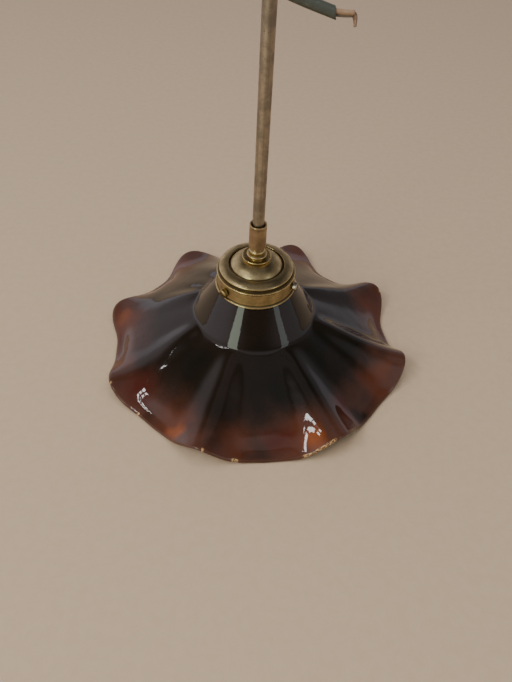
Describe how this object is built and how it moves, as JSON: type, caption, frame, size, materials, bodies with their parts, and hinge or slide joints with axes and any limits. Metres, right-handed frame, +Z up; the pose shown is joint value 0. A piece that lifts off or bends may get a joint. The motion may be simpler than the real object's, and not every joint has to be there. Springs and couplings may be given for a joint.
{
  "type": "pendant lamp",
  "caption": "Rod-hung pendant lamp with a ruffled, lobed glass shade clamped by screws in a stepped brass gallery; a bare flex tail leaves the open rod.",
  "frame": {"origin": "on the rod's axis, at the height of the shade's lowest rim points, on which the lamp stands", "axes": "+Z up along the rod; -Y towards the viewer's side, +X to the viewer's right"},
  "size_m": [0.2932, 0.2907, 0.4635],
  "materials": {
    "shade_glass": "deep amber to purple-black glass, polished",
    "gallery_brass": "aged brass, polished with dark grooves",
    "rod_brass": "aged brass with brown patina",
    "holder_brass": "plain brass",
    "contact_brass": "bright brass",
    "insulator": "dark moulded phenolic",
    "liner": "pressed insulating card",
    "bush": "black moulded",
    "flex_sheath": "dark grey-green sheath",
    "core_brown": "brown core insulation",
    "core_blue": "blue core insulation",
    "copper": "bare copper strands"
  },
  "bodies": {
    "lamp": {"glass_shade": "shade_glass", "gallery_cap": "gallery_brass", "saucer_collar": "gallery_brass", "spacer_ring": "gallery_brass", "ring_nut": "gallery_brass", "rod_coupling": "rod_brass", "rod_tube": "rod_brass", "rod_bush": "bush", "hollow_nipple": "holder_brass", "inner_washer": "holder_brass", "inner_lock_nut": "holder_brass", "holder_cap": "holder_brass", "holder_grub_screw": "contact_brass", "holder_sleeve": "holder_brass", "holder_liner": "liner", "holder_insulator": "insulator", "screw_shell": "contact_brass", "terminal_live": "contact_brass", "terminal_neutral": "contact_brass", "terminal_screws": "contact_brass", "cable_in_rod": "flex_sheath", "core_live": "core_brown", "core_neutral": "core_blue", "flex_lead": "flex_sheath", "lead_core_brown": "core_brown", "lead_core_blue": "core_blue", "lead_copper_brown": "copper", "lead_copper_blue": "copper"},
    "glass_screw_1": {"gallery_screw_1": "gallery_brass"},
    "glass_screw_2": {"gallery_screw_2": "gallery_brass"},
    "glass_screw_3": {"gallery_screw_3": "gallery_brass"},
    "contact_leaf": {"centre_contact": "contact_brass"}
  },
  "joints": [
    {"name": "glass_screw_1_back_off", "type": "slide", "parent": "lamp", "child": "glass_screw_1", "axis": [0.9563, -0.2924, 0], "range_m": [0, 0.003]},
    {"name": "glass_screw_2_back_off", "type": "slide", "parent": "lamp", "child": "glass_screw_2", "axis": [-0.225, 0.9744, 0], "range_m": [0, 0.003]},
    {"name": "glass_screw_3_back_off", "type": "slide", "parent": "lamp", "child": "glass_screw_3", "axis": [-0.7314, -0.682, 0], "range_m": [0, 0.003]},
    {"name": "centre_contact_flex", "type": "hinge", "parent": "lamp", "child": "contact_leaf", "pos_m": [-0.008, 0, 0.0756], "axis": [0, -1, 0], "range_deg": [0, 10], "stiffness_Nm_per_rad": 0.12}
  ]
}
